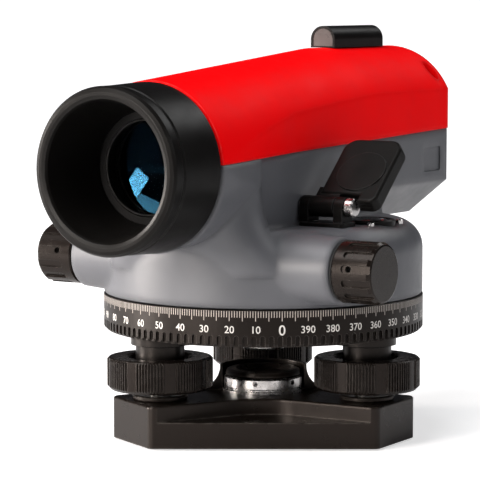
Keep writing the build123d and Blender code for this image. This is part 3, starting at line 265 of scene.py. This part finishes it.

# finishes by material slot; lengths are in metres and colours are linear
# each enamel's edge colour lightens its edges, both as rubbed wear and as a painted highlight
MATERIALS = {
    "housing_grey": enamel("grey_enamel", GREY, 0.40, grain=0.00035, grain_height=5e-6,
                           wear_and_highlight=(0.32, 0.33, 0.35), shine=0.45, edge=0.0006, soften=0.004),
    "cover_red": enamel("red_enamel", RED, 0.50, grain=0.0004, grain_height=3e-6,
                        wear_and_highlight=(0.95, 0.16, 0.15), wear_and_highlight_amount=0.6, variation=0.03, shine=0.03,
                        edge=0.0006, soften=0.003),
    "base_black": enamel("cast_black", (0.0062, 0.0043, 0.0034), 0.30, grain=0.0005,
                         grain_height=9e-6, wear_and_highlight=(0.22, 0.20, 0.18), wear_and_highlight_amount=0.6,
                         variation=0.15, edge=0.0006, shine=0.27, tint=BROWN_SHEEN),
    "knob_black": enamel("knob_black", (0.0062, 0.0045, 0.0038), 0.26, grain=0.0003,
                         grain_height=4e-6, wear_and_highlight=(0.25, 0.23, 0.21), wear_and_highlight_amount=0.35,
                         variation=0.12, edge=0.00018, shine=0.22, tint=BROWN_SHEEN),
    "hood_black": enamel("satin_black", (0.0046, 0.0041, 0.0038), 0.36, grain=0.0003,
                         grain_height=5e-6, wear_and_highlight=(0.16, 0.16, 0.16), wear_and_highlight_amount=0.35,
                         variation=0.12, edge=0.0004, shine=0.10),
    "circle_black": enamel("anodised_black", (0.0050, 0.0038, 0.0032), 0.34, grain=0.0002,
                           grain_height=3e-6, wear_and_highlight=(0.32, 0.29, 0.27), wear_and_highlight_amount=0.6,
                           variation=0.10, edge=0.00015, shine=0.20, tint=BROWN_SHEEN),
    "head_black": enamel("head_black", (0.005, 0.0046, 0.0044), 0.30, grain=0.0003,
                         grain_height=3e-6, variation=0.1, edge=0.0002, shine=0.28,
                         tint=BROWN_SHEEN),
    "inner_black": enamel("inner_black", (0.0030, 0.0028, 0.0028), 0.6, grain=0.0003,
                          grain_height=6e-6, wear_and_highlight_amount=0.1, edge=0.0001, shine=0.12),
    "chrome": metal("chrome", (0.66, 0.64, 0.63), 0.24),
    "steel": metal("steel", (0.50, 0.49, 0.48), 0.28, brush=(1, 1, 8)),
    "brass": metal("brass", (0.66, 0.46, 0.20), 0.26, brush=(1, 1, 8)),
    "rubber": enamel("rubber", (0.016, 0.016, 0.016), 0.75, grain=0.0005, grain_height=1.5e-5,
                     wear_and_highlight_amount=0.1, edge=0.0003),
    # bends light only a little, so that the facets of its mesh don't break up what is behind it
    "lens_glass": glass("lens_glass", (0.93, 0.97, 1.0), 0.003, ior=1.04),
    "vial_glass": glass("vial_glass", (0.80, 0.90, 0.62), ior=1.40),
    "window": enamel("frosted_window", (0.085, 0.076, 0.073), 0.30, grain=0.0008,
                     grain_height=2e-5, variation=0.2, wear_and_highlight_amount=0.1, shine=0.2),
    "mirror": metal("silvered", (0.82, 0.84, 0.86), 0.03, tarnish_amount=0.05),
}
INK_WHITE = ink("ink_white", (0.70, 0.68, 0.65))
INK_SCALE = ink("ink_scale", (0.52, 0.47, 0.43))
COATING = coated_glass("blue_coating", (0.0045, 0.0180, 0.0290))
BUBBLE = glass("bubble", (1.0, 1.0, 0.97), ior=1.10)

SLOT_OF = {entry["node"]: entry["material_slot"] for entry in frame["record"]["subparts"]}


def dress_frame():
    """Give every carried-over CAD node its finish."""
    for name, node in NODES.items():
        node.data.materials.clear()
        node.data.materials.append(MATERIALS[SLOT_OF[name]])


# ---------------------------------------------------------------- mesh pieces

PROUD = 0.02 * MM  # height of printed marks over their surface


def piece(name, bm, body, material, smooth=True):
    """Turn a bmesh into a piece that rides on a body."""
    bmesh.ops.recalc_face_normals(bm, faces=bm.faces)
    mesh = bpy.data.meshes.new(name)
    bm.to_mesh(mesh)
    bm.free()
    mesh.polygons.foreach_set("use_smooth", [smooth] * len(mesh.polygons))
    mesh.materials.append(material)
    made = bpy.data.objects.new(name, mesh)
    bpy.context.scene.collection.objects.link(made)
    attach(made, body)


def lathe(bm, profile, centre, axis, segments=96):
    """Turn a closed outline of (along, radius) points about an axis: "y" or "z"."""
    frames = {
        "y": (Vector((0, 1, 0)), Vector((0, 0, 1)), Vector((1, 0, 0))),
        "z": (Vector((0, 0, 1)), Vector((1, 0, 0)), Vector((0, 1, 0))),
    }
    along, right, up = frames[axis]
    rings = []
    for k in range(segments):
        angle = 2 * pi * k / segments
        out = cos(angle) * right + sin(angle) * up
        rings.append([bm.verts.new(Vector(centre) + a * along + r * out) for a, r in profile])
    count = len(profile)
    for k in range(segments):
        this, following = rings[k], rings[(k + 1) % segments]
        for i in range(count):
            j = (i + 1) % count
            corners = (this[i], this[j], following[j], following[i])
            bm.faces.new(corners)
    bmesh.ops.remove_doubles(bm, verts=bm.verts, dist=1e-7)


def patch(bm, place, low, high):
    """Add one face with the opposite corners low and high; place maps its corners to space."""
    (left, foot), (right, top) = low, high
    corners = [(left, foot), (right, foot), (right, top), (left, top)]
    bm.faces.new([bm.verts.new(place(x, y)) for x, y in corners])


def round_axis(radius, angle, height):
    """Point at a radius, angle and height about the instrument's vertical axis."""
    return Vector((radius * cos(angle), radius * sin(angle), height))


def on_circle(angle, height):
    """Point just proud of the horizontal circle's rim."""
    return round_axis(CIRCLE_R + PROUD, angle, height)


# ---------------------------------------------------------------- horizontal circle's scale

GON_COUNT = 400
CAMERA_AZIMUTH = 31.72
GON_FACING_CAMERA = 7.1
SCALE_TOP = CIRCLE_HIGH.z - 0.25 * MM
TICK_SHORT = 2.1 * MM
TICK_LONG = 3.3 * MM
TICK_WIDTH = 0.24 * MM
FIGURE_HEIGHT = 2.45 * MM
FIGURE_FOOT = CIRCLE_HIGH.z - 7.5 * MM
ZERO_GROWTH = 1.42  # the zero is taller than the other figures and starts lower
ZERO_DROP = 0.6 * MM
CAP_SHARE = 0.73  # height of a figure as a share of the type size
BOLDNESS = 0.007  # outward offset of a figure's outline as a share of the type size


def gon_angle(gon):
    """Direction in plan of a graduation; the figures grow clockwise seen from above."""
    facing = radians(CAMERA_AZIMUTH - 90)
    return facing - 2 * pi * (gon - GON_FACING_CAMERA) / GON_COUNT


def circle_graduations():
    """One tick per gon, longer at every fifth."""
    bm = bmesh.new()
    half = TICK_WIDTH / 2 / CIRCLE_R
    for gon in range(GON_COUNT):
        angle = gon_angle(gon)
        foot = SCALE_TOP - (TICK_LONG if gon % 5 == 0 else TICK_SHORT)
        patch(bm, on_circle, (angle - half, foot), (angle + half, SCALE_TOP))
    piece("circle_graduations", bm, "circle", INK_SCALE, smooth=False)


def add_text(bm, body, size, place):
    """Add flat lettering; place maps a point of the line of text to space."""
    curve = bpy.data.curves.new("figure", "FONT")
    curve.body = body
    curve.size = size
    curve.align_x = "CENTER"
    curve.resolution_u = 4
    curve.offset = BOLDNESS * size
    holder = bpy.data.objects.new("figure", curve)
    bpy.context.scene.collection.objects.link(holder)
    bpy.context.view_layer.update()
    mesh = bpy.data.meshes.new_from_object(holder)
    corners = [bm.verts.new(place(v.co.x, v.co.y)) for v in mesh.vertices]
    for polygon in mesh.polygons:
        bm.faces.new([corners[i] for i in polygon.vertices])
    bpy.data.objects.remove(holder)
    bpy.data.meshes.remove(mesh)
    bpy.data.curves.remove(curve)


def circle_figures():
    """A figure at every tenth gon."""
    bm = bmesh.new()
    for gon in range(0, GON_COUNT, 10):
        zero = gon == 0
        height = FIGURE_HEIGHT * (ZERO_GROWTH if zero else 1.0)
        foot = FIGURE_FOOT - (ZERO_DROP if zero else 0)
        middle = gon_angle(gon)

        def place(x, y, middle=middle, foot=foot):
            return on_circle(middle + x / CIRCLE_R, foot + y)

        add_text(bm, str(gon), height / CAP_SHARE, place)
    piece("circle_figures", bm, "circle", INK_WHITE, smooth=False)


def circle_index():
    """White pointer on the housing's skirt, over the scale, below the eyepiece."""
    bm = bmesh.new()
    skirt_wall, margin = 3.2 * MM, 0.5 * MM
    half_width, tall = 0.9 * MM, 2.6 * MM
    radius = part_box("floor_plate")[1].x + skirt_wall + PROUD
    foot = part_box("lower_housing")[0].z + margin
    middle, half, top = pi / 2, half_width / radius, foot + tall
    corners = [(middle, foot), (middle + half, top), (middle - half, top)]
    bm.faces.new([bm.verts.new(round_axis(radius, a, z)) for a, z in corners])
    piece("circle_index", bm, "alidade", INK_WHITE, smooth=False)


# ---------------------------------------------------------------- optics


def inner_element():
    """Concave coated face of the objective's second element, behind the front lens."""
    bm = bmesh.new()
    gap, rim_width, steps = 1.6 * MM, 1.5 * MM, 24
    radius, curve = 16.4 * MM, 60.0 * MM
    front = LENS_HIGH.y + gap
    depth = curve - sqrt(curve**2 - radius**2)
    profile = []
    for k in range(steps + 1):
        r = radius * k / steps
        profile.append((front + depth - (curve - sqrt(curve**2 - r**2)), r))
    rim = front + depth + rim_width
    lathe(bm, profile + [(rim, radius), (rim, 0.0)], TELESCOPE_AXIS, "y", 128)
    piece("objective_inner_element", bm, "alidade", COATING)


def retaining_ring():
    """Thin ring with two key slots, which holds the front lens."""
    bm = bmesh.new()
    face, bore = CELL_LOW.y, 15.0 * MM
    # points of the section: height over the cell's face and distance from the bore, in mm
    section = [(0.02, 0.02), (0.30, 0.10), (0.38, 0.30), (0.30, 0.50), (0.02, 0.90)]
    profile = [(face - height * MM, bore + out * MM) for height, out in section]
    lathe(bm, profile, TELESCOPE_AXIS, "y", 128)
    slot_height, slot_out = 0.39 * MM, 0.4 * MM
    half_width, half_length = 0.25 * MM, 0.5 * MM
    for k in range(2):
        angle = pi * k + radians(20)
        out = Vector((cos(angle), 0, sin(angle)))
        along = Vector((-sin(angle), 0, cos(angle)))
        centre = Vector((0, face - slot_height, TELESCOPE_Z)) + (bore + slot_out) * out

        def place(x, y, centre=centre, out=out, along=along):
            return centre + x * out + y * along

        patch(bm, place, (-half_width, -half_length), (half_width, half_length))
    piece("objective_retainer", bm, "alidade", MATERIALS["hood_black"])


# ---------------------------------------------------------------- circular vial


def vial_bubble():
    """Flattened air bubble, a little off the vial's centre."""
    bm = bmesh.new()
    radius, flatness, depth = 2.3 * MM, 0.32, 1.2 * MM
    off_centre = Vector((0.3 * MM, -0.2 * MM, 0))
    bmesh.ops.create_uvsphere(bm, u_segments=32, v_segments=16, radius=radius)
    centre = Vector((VIAL_CENTRE.x, VIAL_CENTRE.y, VIAL_HIGH.z - depth)) + off_centre
    for vert in bm.verts:
        vert.co = Vector((vert.co.x, vert.co.y, vert.co.z * flatness)) + centre
    piece("vial_bubble", bm, "alidade", BUBBLE)


def vial_mark():
    """Centring ring printed inside the vial's glass, just under its top."""
    bm = bmesh.new()
    radius, wall, thickness, depth = 3.0 * MM, 0.25 * MM, 0.08 * MM, 0.14 * MM
    centre = (VIAL_CENTRE.x, VIAL_CENTRE.y, VIAL_HIGH.z - depth)
    outer = radius + wall
    lathe(bm, [(0, radius), (thickness, radius), (thickness, outer), (0, outer)], centre, "z")
    piece("vial_mark", bm, "alidade", MATERIALS["hood_black"])


# ---------------------------------------------------------------- fastenings and threads


def flange_screws():
    """Four small screws with round sockets, sunk in the eyepiece's flange."""
    bm = bmesh.new()
    ring, screw_height = 16.4 * MM, 0.9 * MM
    face = DIOPTER_Y - 3.4 * MM
    # points of a screw's outline: height and radius, in mm
    outline = [(0, 0), (0, 1.0), (0.7, 1.0), (0.9, 0.8), (0.9, 0.35), (0.6, 0.35), (0.6, 0)]
    profile = [(height * MM, radius * MM) for height, radius in outline]
    for k in range(4):
        angle = pi / 4 + k * pi / 2
        centre = (ring * cos(angle), face - screw_height, TELESCOPE_Z + ring * sin(angle))
        lathe(bm, profile, centre, "y", 24)
    piece("flange_screws", bm, "alidade", MATERIALS["steel"])


def thread_turns():
    """Thread ridge inside the tripod bush, with 11 turns to the inch."""
    bm = bmesh.new()
    pitch, steps = 25.4 / 11 * MM, 48
    start, ends, lowest = 0.5 * MM, 1.6 * MM, 0.05 * MM
    root, crest = 6.93 * MM, 6.20 * MM
    half_root, half_crest = 0.8 * MM, 0.15 * MM
    section = [(root, -half_root), (crest, -half_crest), (crest, half_crest), (root, half_root)]
    turns = (BUSH_HIGH.z - ends) / pitch
    previous = None
    for k in range(int(turns * steps)):
        angle = 2 * pi * k / steps
        middle = start + pitch * k / steps
        ring = [bm.verts.new(round_axis(r, angle, max(lowest, middle + dz))) for r, dz in section]
        if previous:
            for i in range(4):
                j = (i + 1) % 4
                bm.faces.new((previous[i], previous[j], ring[j], ring[i]))
        else:
            bm.faces.new(ring)
        previous = ring
    bm.faces.new(previous)
    piece("tripod_thread", bm, "base", MATERIALS["brass"], smooth=False)


def diopter_scale():
    """White ticks over the top of the diopter ring's front band."""
    bm = bmesh.new()
    step, half_width = radians(9), 0.1 * MM
    long_tick, short_tick = 1.1 * MM, 0.7 * MM
    radius = (DIOPTER_HIGH.x - DIOPTER_LOW.x) / 2 + PROUD / 2
    front = DIOPTER_LOW.y + 0.7 * MM
    half = half_width / radius

    def place(angle, y):
        return Vector((radius * cos(angle), y, TELESCOPE_Z + radius * sin(angle)))

    for k in range(-5, 6):
        angle = pi / 2 + k * step
        rear = front + (long_tick if k % 5 == 0 else short_tick)
        patch(bm, place, (angle - half, front), (angle + half, rear))
    piece("diopter_scale", bm, "diopter", INK_WHITE, smooth=False)


# ---------------------------------------------------------------- studio

CAMERA_DISTANCE = 0.8629
CAMERA_HEIGHT = 0.1509
CAMERA_PITCH_DOWN = 5.565
CAMERA_YAW_LEFT = 0.535
LENS_MM = 188.58
SENSOR_MM = 36.0
OBJECT_MIDDLE = (0, 0, 0.08)
LENS_MIDDLE = (0, LENS_LOW.y, TELESCOPE_Z)
WHITE = (1, 1, 1)
WARM = (1.0, 0.93, 0.87)
FLOOR_GLOW = 0.55  # light table under the floor, seen by the camera only
FLOOR_HALF = 60.0
SUN_DISTANCE = 2.0


def camera():
    data = bpy.data.cameras.new("camera")
    data.lens = LENS_MM
    data.sensor_width = SENSOR_MM
    data.clip_start = 0.05
    made = bpy.data.objects.new("camera", data)
    azimuth = radians(CAMERA_AZIMUTH)
    made.location = (CAMERA_DISTANCE * sin(azimuth), -CAMERA_DISTANCE * cos(azimuth), CAMERA_HEIGHT)
    made.rotation_euler = (
        radians(90 - CAMERA_PITCH_DOWN), 0.0, azimuth + radians(CAMERA_YAW_LEFT)
    )
    bpy.context.scene.collection.objects.link(made)
    bpy.context.scene.camera = made


def aim_at(lamp, azimuth, elevation, distance, target):
    """Place a lamp round the target (azimuth as for the camera) and turn it to the target."""
    a, e = radians(azimuth), radians(elevation)
    centre = Vector(target)
    lamp.location = centre + distance * Vector((sin(a) * cos(e), -cos(a) * cos(e), sin(e)))
    lamp.rotation_euler = (lamp.location - centre).to_track_quat("Z", "Y").to_euler()
    bpy.context.scene.collection.objects.link(lamp)


def softbox(name, azimuth, elevation, distance, size, power, tint=WHITE, aim=OBJECT_MIDDLE,
            roll=0.0):
    data = bpy.data.lights.new(name, "AREA")
    data.shape = "RECTANGLE"
    data.size, data.size_y = size
    data.energy = power
    data.color = tint
    lamp = bpy.data.objects.new(name, data)
    aim_at(lamp, azimuth, elevation, distance, aim)
    lamp.rotation_euler.rotate_axis("Z", radians(roll))


def sun(name, azimuth, elevation, strength, spread):
    data = bpy.data.lights.new(name, "SUN")
    data.energy = strength
    data.angle = radians(spread)
    aim_at(bpy.data.objects.new(name, data), azimuth, elevation, SUN_DISTANCE, OBJECT_MIDDLE)


def floor():
    """Pale floor at the object's foot; it glows for the camera, so that it melts into the
    backdrop."""
    half = FLOOR_HALF
    corners = [(-half, -half, 0), (half, -half, 0), (half, half, 0), (-half, half, 0)]
    mesh = bpy.data.meshes.new("floor")
    mesh.from_pydata(corners, [], [(0, 1, 2, 3)])
    made = Shader("pale_floor")
    tone = made.remap(made.noise(0.4), 0.0, 1.0)
    made.feed(Base_Color=made.mix(tone, (0.80, 0.80, 0.81), (0.84, 0.84, 0.85)))
    made.feed(Roughness=made.remap(made.noise(0.05), 0.55, 0.65))
    made.set(Specular_IOR_Level=0.2, Emission_Color=(1, 1, 1, 1))
    seen = made.node("ShaderNodeLightPath").outputs["Is Camera Ray"]
    made.feed(Emission_Strength=made.times(seen, FLOOR_GLOW))
    mesh.materials.append(made.material)
    plane = bpy.data.objects.new("floor", mesh)
    bpy.context.scene.collection.objects.link(plane)


def world(reflected, shown):
    """Dim surroundings for the object, white backdrop for the camera."""
    made = bpy.data.worlds.new("world")
    made.use_nodes = True
    nodes, links = made.node_tree.nodes, made.node_tree.links
    rays = nodes.new("ShaderNodeLightPath")
    colour = nodes.new("ShaderNodeMix")
    colour.data_type = "RGBA"
    colour.inputs[COLOUR_A].default_value = (*reflected, 1)
    colour.inputs[COLOUR_B].default_value = (*shown, 1)
    links.new(rays.outputs["Is Camera Ray"], colour.inputs["Factor"])
    links.new(colour.outputs[COLOUR_RESULT], nodes["Background"].inputs["Color"])
    bpy.context.scene.world = made


def studio():
    """Soft key light, three boxes round the object and two at the front that the lens mirrors."""
    floor()
    sun("key", azimuth=-26, elevation=62, strength=2.6, spread=40)
    softbox("left_box", azimuth=-60, elevation=6, distance=1.0, size=(0.22, 0.30), power=13.0,
            tint=WARM)
    softbox("window", azimuth=-13, elevation=9, distance=0.95, size=(0.17, 0.36), power=6.8,
            tint=WARM, aim=LENS_MIDDLE, roll=-35)
    softbox("high_window", azimuth=-22, elevation=22, distance=0.95, size=(0.44, 0.32), power=4.6,
            tint=WARM, aim=LENS_MIDDLE, roll=-12)
    softbox("right_box", azimuth=92, elevation=30, distance=1.3, size=(0.4, 0.5), power=2.6)
    softbox("rear_box", azimuth=165, elevation=40, distance=1.3, size=(0.5, 0.5), power=2.6)
    world(reflected=(0.035, 0.035, 0.04), shown=WHITE)
    bpy.context.scene.view_settings.view_transform = "Standard"


dress_frame()
circle_graduations()
circle_figures()
circle_index()
inner_element()
retaining_ring()
vial_bubble()
vial_mark()
flange_screws()
thread_turns()
diopter_scale()
camera()
studio()
